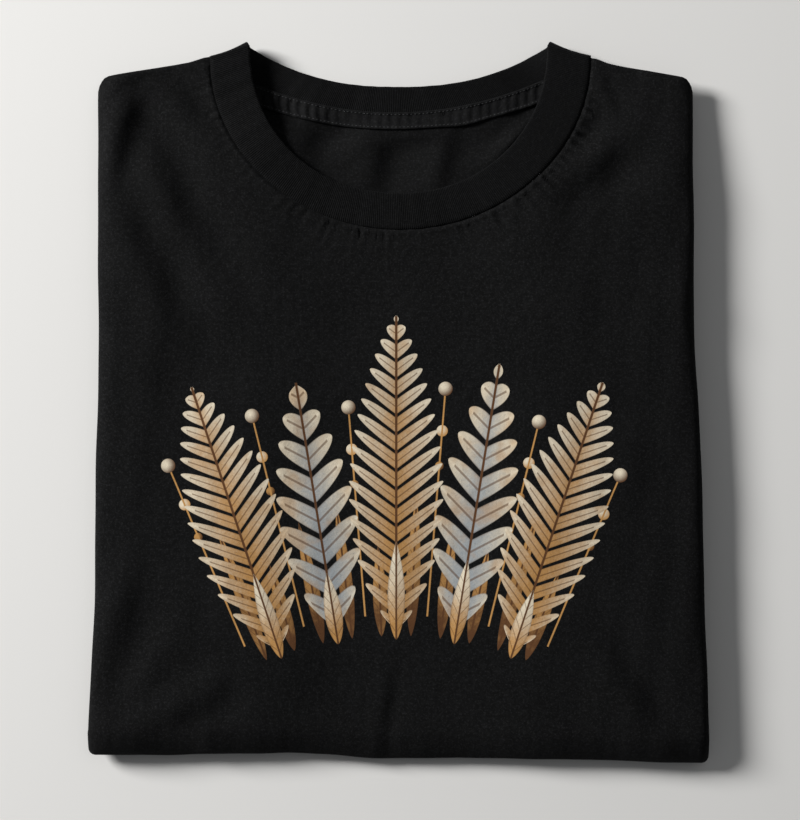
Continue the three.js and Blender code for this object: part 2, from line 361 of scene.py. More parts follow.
def relief(x, y):
    """Creases and waves of the top skin, which fade at the edges."""
    left, right = side_edge(y, -1), side_edge(y, 1)
    inside = smooth(np.minimum(x + left, right - x), 0, 8 * MM)
    long_waves = 0.42 * waves(x, y, 3, 14, 42 * MM, 120 * MM)
    leaning = 0.30 * waves(x, y, 5, 10, 16 * MM, 34 * MM, 0.5, 1.4) * smooth(np.abs(x), 50 * MM, 130 * MM)
    small = 0.09 * waves(x, y, 7, 16, 7 * MM, 15 * MM)
    soft = (long_waves + leaning + small) * MM
    return bpy.context.scene.shirt_cloth.crease * (crease_heights(x, y, CHEST_CREASES) + soft) * inside


def skin_height(x, y):
    """Height of the outer skin on top."""
    return STACK - sink(x, y) + relief(x, y)


def above_edge(x, y):
    """Distance up from the free edge of the front rib."""
    share = np.clip(np.abs(x - EDGE_X) / EDGE_ACROSS, 0, 1)
    return y - EDGE_Y + EDGE_DOWN * np.sqrt(1 - share ** 2)


def in_well(x, y):
    """How far the back panel has sunk: 0 under the front rib at the bottom, 1 at the back of the neck."""
    kept = (1 - smooth(y, 138 * MM, 174 * MM)) * (1 - smooth(above_edge(x, y), -4 * MM, 30 * MM))
    kept *= 1 - 0.8 * smooth(x, 22 * MM, 50 * MM)
    return (1 - kept) * (1 - smooth(np.abs(x), 84 * MM, 100 * MM)) * smooth(y, 90 * MM, 112 * MM)


def back_height(x, y):
    """Height of the inner side of the back panel, which sinks inside the neck."""
    floor = WELL_FLOOR - 1.8 * MM * smooth(np.abs(x), 48 * MM, 78 * MM)
    floor = floor + 0.18 * MM * waves(x, y, 19, 12, 9 * MM, 26 * MM)
    creases = crease_heights(x, y, NECK_CREASES) * smooth(above_edge(x, y), -7 * MM, 1 * MM)
    return mix(skin_height(x, y) - BACK_DEPTH, floor, in_well(x, y)) + creases


# --- Folding ---

# Across: 0 to 1 is the flat from the centre line, 1 to 2 the rolled side edge, 2 to 3 the strip turned in.
# Along: 0 to 1 runs up the top from the bottom fold, 1 to 2 over the shoulder, 0 to -1 round the bottom
# fold and -1 to -2 up the underside to the hem.

# The share of the top that ends in the neck, and how far its end is tucked in and down under the rib
SEAM_SHARE = 0.76
TUCK_IN = 3 * MM
TUCK_DOWN = 1.2 * MM


def edge_fall(x, edge, deep, most):
    """How far a layer sinks towards a side edge. The layers in the middle of the roll sink less."""
    near = 1 - np.clip((edge - np.abs(x)) / SIDE_FALL_REACH, 0, 1)
    return most * near ** 2 * np.clip(1 - deep / (2 * ROLL), 0, 1)


def turned_in(deep):
    """0 for the layers of the top and 1 for the strip turned in below them."""
    return smooth(deep, 1.2 * ROLL, 1.9 * ROLL)


def across_fold(place, depth, edge, strip):
    """Distance from the centre and depth at a place across a half."""
    side, run = np.sign(place), np.abs(place)
    angle = math.pi * np.clip(run - 1, 0, 1)
    radius = ROLL - depth
    flat = edge * np.minimum(run, 1)
    out = flat + np.where(run > 1, radius * np.sin(angle), 0) - strip * np.maximum(run - 2, 0)
    return side * out, np.where(run > 1, ROLL - radius * np.cos(angle), depth)


def top_end(place, neck):
    """The upper end of each column in plan, and how far it lies in the neck (1) or on the shoulder (0)."""
    side, run = np.where(place < 0, -1, 1), np.abs(place)
    edge = side_edge(ARMHOLE_Y, side) - ROLL
    neck_x, neck_y = neck(QUARTER_TURN * np.clip(place / SEAM_SHARE, -1, 1))
    start = np.abs(neck(QUARTER_TURN * side)[0])
    shoulder = mix(start, edge, np.clip((run - SEAM_SHARE) / (1 - SEAM_SHARE), 0, 1))
    on_arc = np.clip(run - 1, 0, 1) * math.pi
    strip = STRIP_LENGTH["upper"] * np.maximum(run - 2, 0)
    plan = np.where(run > 1, edge + ROLL * np.sin(on_arc) - strip, shoulder)
    fall = 0.2 * (on_arc * ROLL + strip) + corner_drop(plan, edge + ROLL) * (run < 2)
    in_neck = run < SEAM_SHARE
    x = np.where(in_neck, neck_x, side * plan)
    y = np.where(in_neck, neck_y, shoulder_line(np.minimum(plan, edge), side) - fall)
    return x, y, 1 - smooth(run, SEAM_SHARE - 0.02, SEAM_SHARE + 0.02)


def fold_top(place, along, depth, neck, height):
    """A point of the top half: the chest, its side strips and the roll over the shoulder."""
    side, run = np.where(place < 0, -1, 1), np.abs(place)
    end_x, end_y, neckness = top_end(place, neck)
    up = np.clip(along, 0, 1)
    start_y = bottom_edge(np.clip(place, -1, 1) * side_edge(LOW[1], side))
    y = mix(start_y + BOTTOM_REACH, end_y, up)
    edge = side_edge(y, side) - ROLL
    end_edge = side_edge(ARMHOLE_Y, side) - ROLL
    over = math.pi * np.clip(along - 1, 0, 1)
    shoulder_radius = SHOULDER_ROLL - depth
    rolled = SHOULDER_ROLL - shoulder_radius * np.cos(over)
    layer = np.where(along > 1, mix(rolled, depth, neckness), depth)
    x, deep = across_fold(place, layer, edge, STRIP_LENGTH["upper"])
    x = x + np.where(run <= 1, up ** 1.6 * (end_x - place * end_edge), 0)
    y = y + np.where(along > 1, shoulder_radius * np.sin(over), 0) * (1 - neckness)
    tuck = neckness * np.clip(along - 1, 0, 1)
    inward = np.stack([SEAM_X - x, SEAM_Y - y])
    inward *= TUCK_IN * tuck / np.maximum(np.hypot(*inward), MM)
    x, y = x + inward[0], y + inward[1]
    side_top = STACK - DROP * smooth(y, DROP_START_Y, NECK_POINT_Y)
    fall = edge_fall(x, edge + ROLL, deep, SIDE_FALL)
    return x, y, mix(height(x, y), side_top, turned_in(deep)) - deep - fall - tuck * TUCK_DOWN


def fold_bottom(place, along, depth, height):
    """A point of the round fold at the bottom edge."""
    side = np.where(place < 0, -1, 1)
    edge = side_edge(LOW[1] + HALF_STACK, side) - ROLL
    strip = mix(STRIP_LENGTH["upper"], STRIP_LENGTH["lower"], np.clip(-along, 0, 1))
    x, deep = across_fold(place, depth, edge, strip)
    angle = -math.pi * along
    flat = np.where(np.abs(place) < 1, x, side * (edge + ROLL))
    start = bottom_edge(flat) + BOTTOM_REACH
    low = (STACK - height(x, start)) * (1 - turned_in(deep))
    low += edge_fall(x, edge + ROLL, deep, SIDE_FALL)
    lift = edge_fall(x, edge + ROLL, deep, UNDER_FALL)
    ripple = 0.12 * MM * waves(x, angle * 6 * MM, 23, 10, 24 * MM, 70 * MM, 0, 0.6) * np.sin(angle)
    drop = np.sign(np.cos(angle)) * np.abs(np.cos(angle)) ** ROUNDNESS
    y = start - (BOTTOM_REACH - deep + ripple) * np.sin(angle) ** ROUNDNESS
    z = HALF_STACK + (HALF_STACK - deep) * drop
    return x, y, z - low * np.cos(angle / 2) ** 2 + lift * np.sin(angle / 2) ** 2


def fold_under(place, along, depth):
    """A point of the underside, which lies flat on the table."""
    side = np.where(place < 0, -1, 1)
    run = np.clip(-along - 1, 0, 1)
    nominal = side_edge(LOW[1] + HALF_STACK, side)
    flat = np.where(np.abs(place) < 1, place * (nominal - ROLL), side * nominal)
    y = mix(bottom_edge(flat) + BOTTOM_REACH, HEM_Y - 0.3 * MM, run)
    sway = 0.8 * MM * np.sin(math.pi * run)
    edge = side_edge(y, side) - ROLL - sway
    x, deep = across_fold(place, depth, edge, STRIP_LENGTH["lower"])
    lift = 0.22 * MM * (1 + waves(x, y, 29, 10, 30 * MM, 80 * MM) / 3) * smooth(run, 0, 0.1)
    return x, y, deep + np.maximum(lift, 0) * (deep < ROLL) + edge_fall(x, edge + ROLL, deep, UNDER_FALL)


def fold(place, along, depth, neck, height):
    """Where the sheet with this neck line and height goes, as three grids."""
    top = fold_top(place, along, depth, neck, height)
    bottom = fold_bottom(place, np.clip(along, -1, 0), depth, height)
    under = fold_under(place, along, depth)
    return np.stack([np.where(along >= 0, t, np.where(along >= -1, b, u))
                     for t, b, u in zip(top, bottom, under)], axis=-1)


# --- Meshes ---

def steps(*stretches):
    """Even steps through each stretch given as (from, to, steps)."""
    parts = [np.linspace(a, b, n, endpoint=False) for a, b, n in stretches]
    return np.concatenate([*parts, [stretches[-1][1]]])


def grid_faces(rows, columns, start=0, closed_rows=False, closed_columns=False, flip=False):
    """Quads of a grid of points, with the index of its first point."""
    row = np.arange(rows if closed_rows else rows - 1)
    column = np.arange(columns if closed_columns else columns - 1)
    r, c = (a.ravel() for a in np.meshgrid(row, column, indexing="ij"))
    next_r, next_c = (r + 1) % rows, (c + 1) % columns
    quads = np.stack([r * columns + c, r * columns + next_c, next_r * columns + next_c, next_r * columns + c])
    return (quads.T[:, ::-1] if flip else quads.T) + start


def make_object(name, points, faces, material, uv=None):
    """A smooth mesh object that rides on the shirt, with a UV place for each of its points."""
    mesh = bpy.data.meshes.new(name)
    mesh.from_pydata(points.tolist(), [], faces)
    if uv is not None:
        corners = np.zeros(len(mesh.loops), np.int32)
        mesh.loops.foreach_get("vertex_index", corners)
        mesh.uv_layers.new(name="Cloth").data.foreach_set("uv", uv[corners].astype(np.float32).ravel())
    mesh.polygons.foreach_set("use_smooth", np.ones(len(mesh.polygons), bool))
    mesh.update()
    mesh.validate()
    mesh.materials.append(material)
    piece = bpy.data.objects.new(name, mesh)
    bpy.context.scene.collection.objects.link(piece)
    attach(piece, "root")
    return piece


def thick_sheet(name, outer, inner, material, uv):
    """A closed sheet between an outer and an inner grid of points, joined all round its border."""
    rows, columns = outer.shape[:2]
    count = rows * columns
    ids = np.arange(count).reshape(rows, columns)
    border = np.concatenate([ids[0, :-1], ids[:-1, -1], ids[-1, :0:-1], ids[:0:-1, 0]])
    after = np.roll(border, -1)
    rim = np.stack([border, border + count, after + count, after], 1)
    faces = np.concatenate([grid_faces(rows, columns), grid_faces(rows, columns, count, flip=True), rim])
    points = np.concatenate([outer.reshape(-1, 3), inner.reshape(-1, 3)])
    uv = uv.reshape(-1, 2)
    return make_object(name, points, faces.tolist(), material, np.concatenate([uv, uv]))


UV_SPAN = 0.8
UV_CENTRE = (0.0, -0.19)


def cloth_uv(across, along):
    """UV places from flat places in metres, with the whole cut inside the unit square."""
    return np.stack([(across - UV_CENTRE[0]) / UV_SPAN + 0.5, (along - UV_CENTRE[1]) / UV_SPAN + 0.5], -1)


def flat_places(grid, rows, columns):
    """The flat place of each point of a folded grid, measured along its rows and columns from the top."""
    walked = walk(grid, axis=1)
    middle = np.argmin(np.abs(columns))
    on_top = (np.abs(columns)[None, :] <= 1) & (rows[:, None] >= 0)
    across = np.where(on_top, grid[..., 0], walked - walked[:, middle:middle + 1])
    flat = np.nonzero(np.abs(columns) <= 1)[0]
    for c in np.nonzero(np.abs(columns) > 1)[0]:
        edge = flat[0 if columns[c] < 0 else -1]
        across[:, c] = across[:, edge] + walked[:, c] - walked[:, edge]
    along = grid[..., 1].copy()
    lengths = np.linalg.norm(np.diff(grid, axis=0), axis=-1)
    for r in range(np.argmin(np.abs(rows)) - 1, -1, -1):
        along[r] = along[r + 1] - lengths[r]
    return across, along


def panel_grid(coarse):
    """Places along and across a panel, and where its hem begins. There are more rows near the neck."""
    cloth = bpy.context.scene.shirt_cloth
    flat, up = int(cloth.columns * coarse), int(cloth.rows * coarse / 3)
    turn, inner = max(int(7 * coarse), 5), max(int(5 * coarse), 3)
    columns = steps((-3, -2, inner), (-2, -1, turn), (-1, 1, flat), (1, 2, turn), (2, 3, inner))
    hem_row = -2 + HEM_WIDTH / UNDER_LENGTH
    hem_step = hem_row + 0.006
    under = steps((-2, hem_row, 3), (hem_row, hem_step, 1), (hem_step, -1, int(22 * coarse)))
    top = steps((0, 0.6, up), (0.6, 0.93, up), (0.93, 1, up // 2), (1, 2, 5))
    return np.concatenate([under, steps((-1, 0, int(12 * coarse)))[1:], top[1:]]), columns, hem_row


def build_panel(name, depth, neck, height, coarse, lip, material):
    """A folded panel with a hem at its lower end. lip is how far it is drawn over the shoulder."""
    cloth = bpy.context.scene.shirt_cloth
    rows, columns, hem_row = panel_grid(coarse)
    if lip == 0:
        rows = rows[rows <= 1]
    place, along = np.meshgrid(columns, rows)
    doubled = (along <= hem_row + 1e-6) * (cloth.hem_thickness - cloth.jersey_thickness)
    thickness = cloth.jersey_thickness + doubled
    ease = np.where(along > 1, 1 + (along - 1) * (lip - 1), along)
    outer = fold(place, ease, np.full_like(place, depth), neck, height)
    inner = fold(place, ease, depth + thickness, neck, height)
    return thick_sheet(name, outer, inner, material, cloth_uv(*flat_places(outer, rows, columns)))


SIDES = ("left", "right")
PANEL_PARTS = ("chest", "bottom_fold", "underside", "hem", *(f"{part}_{hand}" for part in (
    "side_upper", "side_lower", "shoulder") for hand in SIDES))
CUFF_TAPER = 7 * MM
GROOVE_DEPTH = 0.9 * MM
GROOVE_LIP = 0.25 * MM


def front_skin(x, y):
    """The top skin with the puckers of the collar seam and a small dip where the rib is sewn on."""
    out = beyond_seam(x, y)
    groove = GROOVE_DEPTH * hump(out, 0, 1.1 * MM) - GROOVE_LIP * hump(out, 2.6 * MM, 1.4 * MM)
    return skin_height(x, y) + pucker_heights(x, y) - groove * smooth(y, 90 * MM, 100 * MM)


class SHIRT_OT_front_panel(bpy.types.Operator):
    """Fold the front panel: chest, rolled sides, bottom fold, underside and hem."""
    bl_idname = "shirt.front_panel"
    bl_label = "Front panel"

    def execute(self, context):
        front = build_panel("front_panel", 0.0, seam_point, front_skin, 1.0, 1.9, front_material())
        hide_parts(*(f"front_{part}" for part in PANEL_PARTS))
        return {"FINISHED"}


def back_skin(x, y):
    """Height of the outer skin from which the back panel hangs at its depth."""
    return back_height(x, y) + BACK_DEPTH


def back_neck(angle):
    """The upper end of the back panel inside the neck."""
    x = SEAM_X + SEAM_ACROSS * np.sin(angle)
    return x, back_seam_y(x) - 0.2 * MM


class SHIRT_OT_back_panel(bpy.types.Operator):
    """Fold the back panel inside the front one. It shows inside the neck."""
    bl_idname = "shirt.back_panel"
    bl_label = "Back panel"

    def execute(self, context):
        back = build_panel("back_panel", BACK_DEPTH, back_neck, back_skin, 0.7, 0, jersey_material())
        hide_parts(*(f"back_{part}" for part in PANEL_PARTS), "back_yoke")
        return {"FINISHED"}


class SHIRT_OT_sleeves(bpy.types.Operator):
    """Lay each sleeve flat between the two halves, folded along its outer edge."""
    bl_idname = "shirt.sleeves"
    bl_label = "Sleeves"

    def execute(self, context):
        for hand, side in zip(SIDES, (-1, 1)):
            sleeve = fold_sleeve(hand, side)
            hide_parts(f"sleeve_{hand}", f"sleeve_hem_{hand}")
        return {"FINISHED"}


def fold_sleeve(hand, side):
    """Two layers of a sleeve, narrower at the cuff, joined by a round fold on the outer side."""
    low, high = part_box(f"sleeve_{hand}")
    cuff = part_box(f"sleeve_hem_{hand}")[0].y
    radius = (high.z - low.z) / 2
    middle = (high.z + low.z) / 2
    inner_x, outer_x = sorted((abs(low.x), abs(high.x)))
    place, along = np.meshgrid(steps((0, 1, 26), (1, 2, 8), (2, 3, 26)), steps((0, 0.1, 6), (0.1, 1, 50)))
    y = mix(cuff, high.y, along)
    reach = outer_x - radius - inner_x - CUFF_TAPER * (1 - along) + 0.5 * MM * np.sin(y / (9 * MM))
    ripple = 0.25 * MM * waves(place * 60 * MM, y, 31, 10, 14 * MM, 40 * MM)

    def layer(offset):
        angle = math.pi * np.clip(place - 1, 0, 1)
        out = reach * np.clip(np.minimum(place, 3 - place), 0, 1)
        x = side * (inner_x + out + (radius - offset) * np.sin(angle) * (np.abs(place - 1.5) < 0.5))
        z = middle + (radius - offset) * np.cos(angle) + ripple * np.abs(np.cos(angle))
        return np.stack([x, y, z], -1)[:, ::side]

    thickness = bpy.context.scene.shirt_cloth.jersey_thickness
    return thick_sheet(f"sleeve_{hand}_cloth", layer(0.0), layer(thickness), jersey_material(),
                       cloth_uv(place * 80 * MM, y))


# --- Collar ---

SEAM_SINK = 0.8 * MM
SEAM_SOFTNESS = 1.9 * MM
SEAM_TUCK = 1.2 * MM
SEAM_PROUD = 0.4 * MM
EDGE_PROUD = 0.5 * MM
BACK_PROUD = 0.55 * MM
TURN_SAG = 1.0 * MM
RIB_TILT = 1.3 * MM
RIB_WALL = 0.42
UNEVEN_LIFT = 0.12 * MM
UNEVEN_SHIFT = 0.06 * MM
UP = np.array([0.0, 0.0, 1.0])


def collar_front(angle, half):
    """The free edge and the seam of the rib on the front panel."""
    bulge = np.abs(np.sin(angle)) ** (2 / EDGE_POWER) * np.sign(np.sin(angle))
    edge = EDGE_X + EDGE_ACROSS * bulge, EDGE_Y - EDGE_DOWN * np.cos(angle) ** (2 / EDGE_POWER)
    seam_x, seam_y = seam_point(angle)
    seam = seam_x, seam_y - SEAM_TUCK * np.sin(np.abs(angle)) ** 8
    for (x, y), proud in ((edge, EDGE_PROUD + RIB_TILT * np.sin(angle) ** 2), (seam, SEAM_PROUD)):
        yield np.stack([x, y, STACK - sink(x, y) + 0.9 * relief(x, y) + proud - half], -1)


def collar_back(share, half):
    """The free edge and the seam of the rib at the back of the neck, which lies inside out."""
    seam_x = SEAM_X + SEAM_ACROSS * share
    seam = seam_x, back_seam_y(seam_x) - SEAM_TUCK * np.abs(share) ** 8
    for x, y in (back_edge_point(share), seam):
        yield np.stack([x, y, back_height(x, y) + BACK_PROUD - half], -1)


def collar_turn(top_edge, top_seam, low_edge, low_seam, count=10):
    """The round turn of the rib at a neck point, from the front down to the back."""
    rib = (top_seam - top_edge) * (1, 1, 0)
    inward = rib / np.linalg.norm(rib)
    out = np.array([-inward[1], inward[0], 0.0])
    out *= math.copysign(1, out[1])
    angle = np.linspace(0, math.pi, count + 2)[1:-1, None]
    for top, low, bulge, draw in ((top_edge, low_edge, 0.5, 0.5 * MM), (top_seam, low_seam, 0.6, 0)):
        radius = (top[2] - low[2]) / 2
        path = mix(top, low, (1 - np.cos(angle)) / 2)
        path[:, 2:] = (top[2] + low[2]) / 2 + radius * np.cos(angle)
        yield path + (out * radius * bulge + inward * draw) * np.sin(angle)
    yield UP * np.cos(angle) + out * np.sin(angle)
    yield -TURN_SAG * out * np.sin(angle)


def collar_path(half):
    """The closed path of the rib: free edge, seam edge, outward normal and sag at each step."""
    front = list(collar_front(np.linspace(-QUARTER_TURN, QUARTER_TURN, 300), half))
    back = list(collar_back(np.linspace(1, -1, 190), half))
    right = collar_turn(front[0][-1], front[1][-1], back[0][0], back[1][0])
    left = (part[::-1] for part in collar_turn(front[0][0], front[1][0], back[0][-1], back[1][-1]))
    for strip, normal in ((front, UP), (back, -UP)):
        strip += [np.broadcast_to(normal, strip[0].shape), np.zeros_like(strip[0])]
    return (np.concatenate(parts) for parts in zip(front, right, back, left))


def rib_profile(width, half, wall):
    """Cross-section of a rib folded at its free edge: distance from that edge and height of each point."""
    turn = np.linspace(-QUARTER_TURN, QUARTER_TURN, 9)
    outer_run = 1 - np.linspace(0, 1, 14)[:-1] ** 1.5
    flat, gap = width - half, half - wall
    top = [(half + flat * run, half) for run in outer_run]
    nose = [(half - half * math.cos(t), -half * math.sin(t)) for t in turn]
    bottom = [(run, -height) for run, height in top[::-1]]
    inner_low = [(half + flat * run, -gap) for run in np.linspace(1, 0, 5)[:-1]]
    inner_nose = [(half - gap * math.cos(t), gap * math.sin(t)) for t in turn]
    inner_top = [(half + flat * run, gap) for run in np.linspace(0, 1, 5)[1:]]
    return np.array(top + nose + bottom + inner_low + inner_nose + inner_top)


class SHIRT_OT_collar(bpy.types.Operator):
    """Sweep the doubled rib round the whole neck, over both shoulders."""
    bl_idname = "shirt.collar"
    bl_label = "Rib collar"

    def execute(self, context):
        trim = context.scene.shirt_trim
        half = trim.rib_thickness / 2
        edge, seam, normal, sag = collar_path(half)
        width = np.linalg.norm(seam - edge, axis=1)
        across = (seam - edge) / width[:, None]
        normal = normal - across * np.sum(normal * across, axis=1)[:, None]
        normal /= np.linalg.norm(normal, axis=1)[:, None]
        middle = (edge + seam) / 2
        run = walk(middle)
        uneven = waves(run, run * 0, 37, 14, 9 * MM, 50 * MM, 0, 0.1)
        rings, uvs = [], []
        for i in range(len(edge)):
            profile = rib_profile(width[i], half, RIB_WALL * trim.rib_thickness)
            lift, shift = UNEVEN_LIFT * uneven[i], UNEVEN_SHIFT * uneven[(i + 40) % len(edge)]
            ring = edge[i] + across[i] * (profile[:, :1] + shift) + normal[i] * (profile[:, 1:] + lift)
            ring[:, 2] -= SEAM_SINK * np.clip((profile[:, 0] - width[i]) / SEAM_SOFTNESS + 1, 0, 1) ** 2
            rings.append(ring + sag[i] * np.sin(math.pi * profile[:, :1] / width[i]))
            uvs.append(np.stack([np.full(len(profile), run[i]), walk(profile)], -1) / UV_SPAN)
        faces = grid_faces(*np.shape(rings)[:2], closed_rows=True, closed_columns=True).tolist()
        collar = make_object("rib_collar", np.concatenate(rings), faces, rib_material(),
                             np.concatenate(uvs))
        recalculate_normals(collar)
        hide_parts("collar_front", "collar_back")
        return {"FINISHED"}


def recalculate_normals(piece):
    """Turn all faces of a piece outwards."""
    bpy.ops.object.select_all(action="DESELECT")
    bpy.context.view_layer.objects.active = piece
    piece.select_set(True)
    bpy.ops.object.mode_set(mode="EDIT")
    bpy.ops.mesh.select_all(action="SELECT")
    bpy.ops.mesh.normals_make_consistent(inside=False)
    bpy.ops.object.mode_set(mode="OBJECT")
    piece.select_set(False)


# --- Neck tape ---

TAPE_FROM, TAPE_TO = -95 * MM, 97 * MM
TAPE_LOW_Y, TAPE_HIGH_Y = 157.4 * MM, 167.1 * MM
TAPE_LIP = 0.07
TAPE_SEAT = 1.0 * MM
GATHER_HEIGHT = 0.27 * MM


def tape_surface(x, share):
    """A point on the upper face of the tape, share 0 to 1 from its lower to its upper edge."""
    arch = (x + 2 * MM) ** 2
    bottom = TAPE_LOW_Y + 2.2 * arch - 1.3 * MM * hump(x, 38 * MM, 12 * MM)
    y = mix(bottom, TAPE_HIGH_Y + 2.6 * arch, share)
    slide = 0.9 * MM * np.sin(share * math.pi)
    gathers = GATHER_HEIGHT * waves(x + slide, share * 2 * MM, 41, 4, 4.7 * MM, 5.9 * MM, 0, 0.3)
    gathers *= np.sin(np.clip(share, 0, 1) * math.pi) ** 0.5
    lips = 0.6 * MM * (hump(share, TAPE_LIP, TAPE_LIP) + hump(share, 1 - TAPE_LIP, TAPE_LIP))
    seat = TAPE_SEAT + 0.25 * MM * waves(x, x * 0, 43, 6, 18 * MM, 50 * MM, 0, 0.1)
    return np.stack([x, y, back_height(x, y) + seat + gathers + lips], -1)


class SHIRT_OT_neck_tape(bpy.types.Operator):
    """Lay the gathered tape over the seam inside the back of the neck."""
    bl_idname = "shirt.neck_tape"
    bl_label = "Neck tape"

    def execute(self, context):
        x, share = np.meshgrid(np.linspace(TAPE_FROM, TAPE_TO, 300), np.linspace(0, 1, 19))
        outer = tape_surface(x, share)
        inner = outer - UP * context.scene.shirt_trim.tape_thickness
        tape = thick_sheet("neck_tape_cloth", outer, inner, tape_material(),
                           cloth_uv(x, share * 10 * MM))
        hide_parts("neck_tape")
        stitches = sew(context, "tape_stitches", tape_rows())
        return {"FINISHED"}


# --- Stitches ---

# Where the two rows lie: shares of the tape's width, and distances under the top of the hem
TAPE_ROWS = (0.13, 0.87)
HEM_ROWS = (2.5 * MM, 0.5 * MM)
TAPE_ROW_INSET = 6 * MM
STITCH_SHARE = 0.62
STITCH_FLATNESS = 0.85


def tape_rows():
    """Two rows of points along the tape, a little in from each edge."""
    x = np.linspace(TAPE_FROM + TAPE_ROW_INSET, TAPE_TO - TAPE_ROW_INSET, 900)
    return [tape_surface(x, np.full_like(x, share)) + UP * 0.10 * MM for share in TAPE_ROWS]


def hem_rows():
    """Two rows of points round the underside, along the top of the hem."""
    place = steps((-3, -2, 60), (-2, -1, 14), (-1, 1, 300), (1, 2, 14), (2, 3, 60))
    proud = np.full_like(place, -0.02 * MM)
    return [fold(place, np.full_like(place, -2 + (HEM_WIDTH - down) / UNDER_LENGTH), proud, seam_point,
                 skin_height) for down in HEM_ROWS]


def stitch_shape(trim):
    """The points and faces of one short round stitch along X."""
    bpy.ops.object.select_all(action="DESELECT")
    bpy.ops.mesh.primitive_uv_sphere_add(segments=6, ring_count=5, radius=trim.stitch_width / 2)
    stitch = bpy.context.active_object
    bpy.ops.object.mode_set(mode="EDIT")
    bpy.ops.mesh.select_all(action="SELECT")
    stretch = STITCH_SHARE * trim.stitch_pitch / trim.stitch_width
    bpy.ops.transform.resize(value=(stretch, 1, STITCH_FLATNESS), center_override=(0, 0, 0))
    bpy.ops.object.mode_set(mode="OBJECT")
    shape = np.array([vertex.co for vertex in stitch.data.vertices])
    pattern = [list(face.vertices) for face in stitch.data.polygons]
    bpy.data.objects.remove(stitch)
    return shape, pattern


def sew(context, name, rows):
    """One joined mesh of stitches that follow each row of points."""
    trim = context.scene.shirt_trim
    shape, pattern = stitch_shape(trim)
    points, faces = [], []
    for row in rows:
        walked = walk(row)
        for at in np.arange(trim.stitch_pitch, walked[-1] - trim.stitch_pitch, trim.stitch_pitch):
            spot, ahead = (np.array([np.interp(place, walked, row[:, k]) for k in range(3)])
                           for place in (at, at + trim.stitch_pitch / 4))
            forward = (ahead - spot) / np.linalg.norm(ahead - spot)
            side = np.cross(UP, forward)
            side /= np.linalg.norm(side)
            faces += [[i + len(points) * len(shape) for i in face] for face in pattern]
            points.append(shape @ np.array([forward, side, np.cross(forward, side)]) + spot)
    return make_object(name, np.concatenate(points), faces, thread_material())


class SHIRT_OT_hem_stitches(bpy.types.Operator):
    """Sew the two rows of stitches that hold the bottom hem."""
    bl_idname = "shirt.hem_stitches"
    bl_label = "Hem stitches"

    def execute(self, context):
        sew(context, "hem_stitches", hem_rows())
        return {"FINISHED"}


# --- Nodes ---

def connect(source, socket):
    """Wire a value into a socket, or set the socket to a plain number, vector or colour."""
    if isinstance(source, Value):
        source.tree.links.new(source.socket, socket)
    else:
        socket.default_value = (*source, 1.0) if socket.type == "RGBA" else source


def maths(operation):
    return lambda self, *others: self.then(operation, *others)


class Value:
    """A number, vector or colour in a node tree. Arithmetic with a number adds maths nodes to the tree."""

    def __init__(self, tree, socket):
        self.tree, self.socket = tree, socket

    def then(self, operation, *others):
        made = self.tree.nodes.new("ShaderNodeMath")
        made.operation = operation
        for value, socket in zip((self, *others), made.inputs):
            connect(value, socket)
        return Value(self.tree, made.outputs[0])

    __add__ = __radd__ = maths("ADD")
    __mul__ = __rmul__ = maths("MULTIPLY")
    __sub__ = maths("SUBTRACT")
    __truediv__ = maths("DIVIDE")
    __pow__ = maths("POWER")
    __abs__ = maths("ABSOLUTE")
    __lt__ = maths("LESS_THAN")
    __gt__ = maths("GREATER_THAN")
    at_least = maths("MAXIMUM")
    at_most = maths("MINIMUM")
    fraction = maths("FRACT")
    sine = maths("SINE")
    root = maths("SQRT")

    def __rsub__(self, other):
        return self.then("MULTIPLY_ADD", -1.0, other)


class Wiring:
    """Short calls for the nodes of one node tree."""

    def __init__(self, tree):
        self.tree = tree

    def value(self, kind, output, inputs, **settings):
        """One output of a new node with these settings, after its inputs are wired or set."""
        node = self.tree.nodes.new(f"ShaderNode{kind}")
        for name, setting in settings.items():
            setattr(node, name, setting)
        for name, source in inputs.items():
            connect(source, node.inputs[name])
        return Value(self.tree, node.outputs[output])

    def mix(self, share, a, b):
        return self.value("Mix", "Result", {"Factor": share, "A": a, "B": b}, data_type="RGBA")

    def noise(self, place, scale, detail=2.0, roughness=0.5):
        return self.value("TexNoise", "Fac", {
            "Vector": place, "Scale": scale, "Detail": detail, "Roughness": roughness})

    def ramp(self, value, low, high):
        """0 at low and below, 1 at high and above."""
        return self.value("MapRange", "Result", {"Value": value, "From Min": low, "From Max": high},
                          interpolation_type="SMOOTHSTEP")

    def part(self, axis, place):
        return self.value("SeparateXYZ", axis, {"Vector": place})

    def group(self, build, **values):
        """The outputs of a shared node group by name. build() wires the group when it is first used."""
        name = build.__name__.replace("_", " ").capitalize()
        tree = bpy.data.node_groups.get(name) or new_group(name, build, values)
        node = self.tree.nodes.new("ShaderNodeGroup")
        node.node_tree = tree
        for socket, source in values.items():
            connect(source, node.inputs[socket])
        return {output.name: Value(self.tree, output) for output in node.outputs}


GROUP_INPUT_TYPES = {"place": "NodeSocketVector", "dye": "NodeSocketColor", "worn": "NodeSocketColor"}
GROUP_OUTPUT_TYPES = {"colour": "NodeSocketColor"}


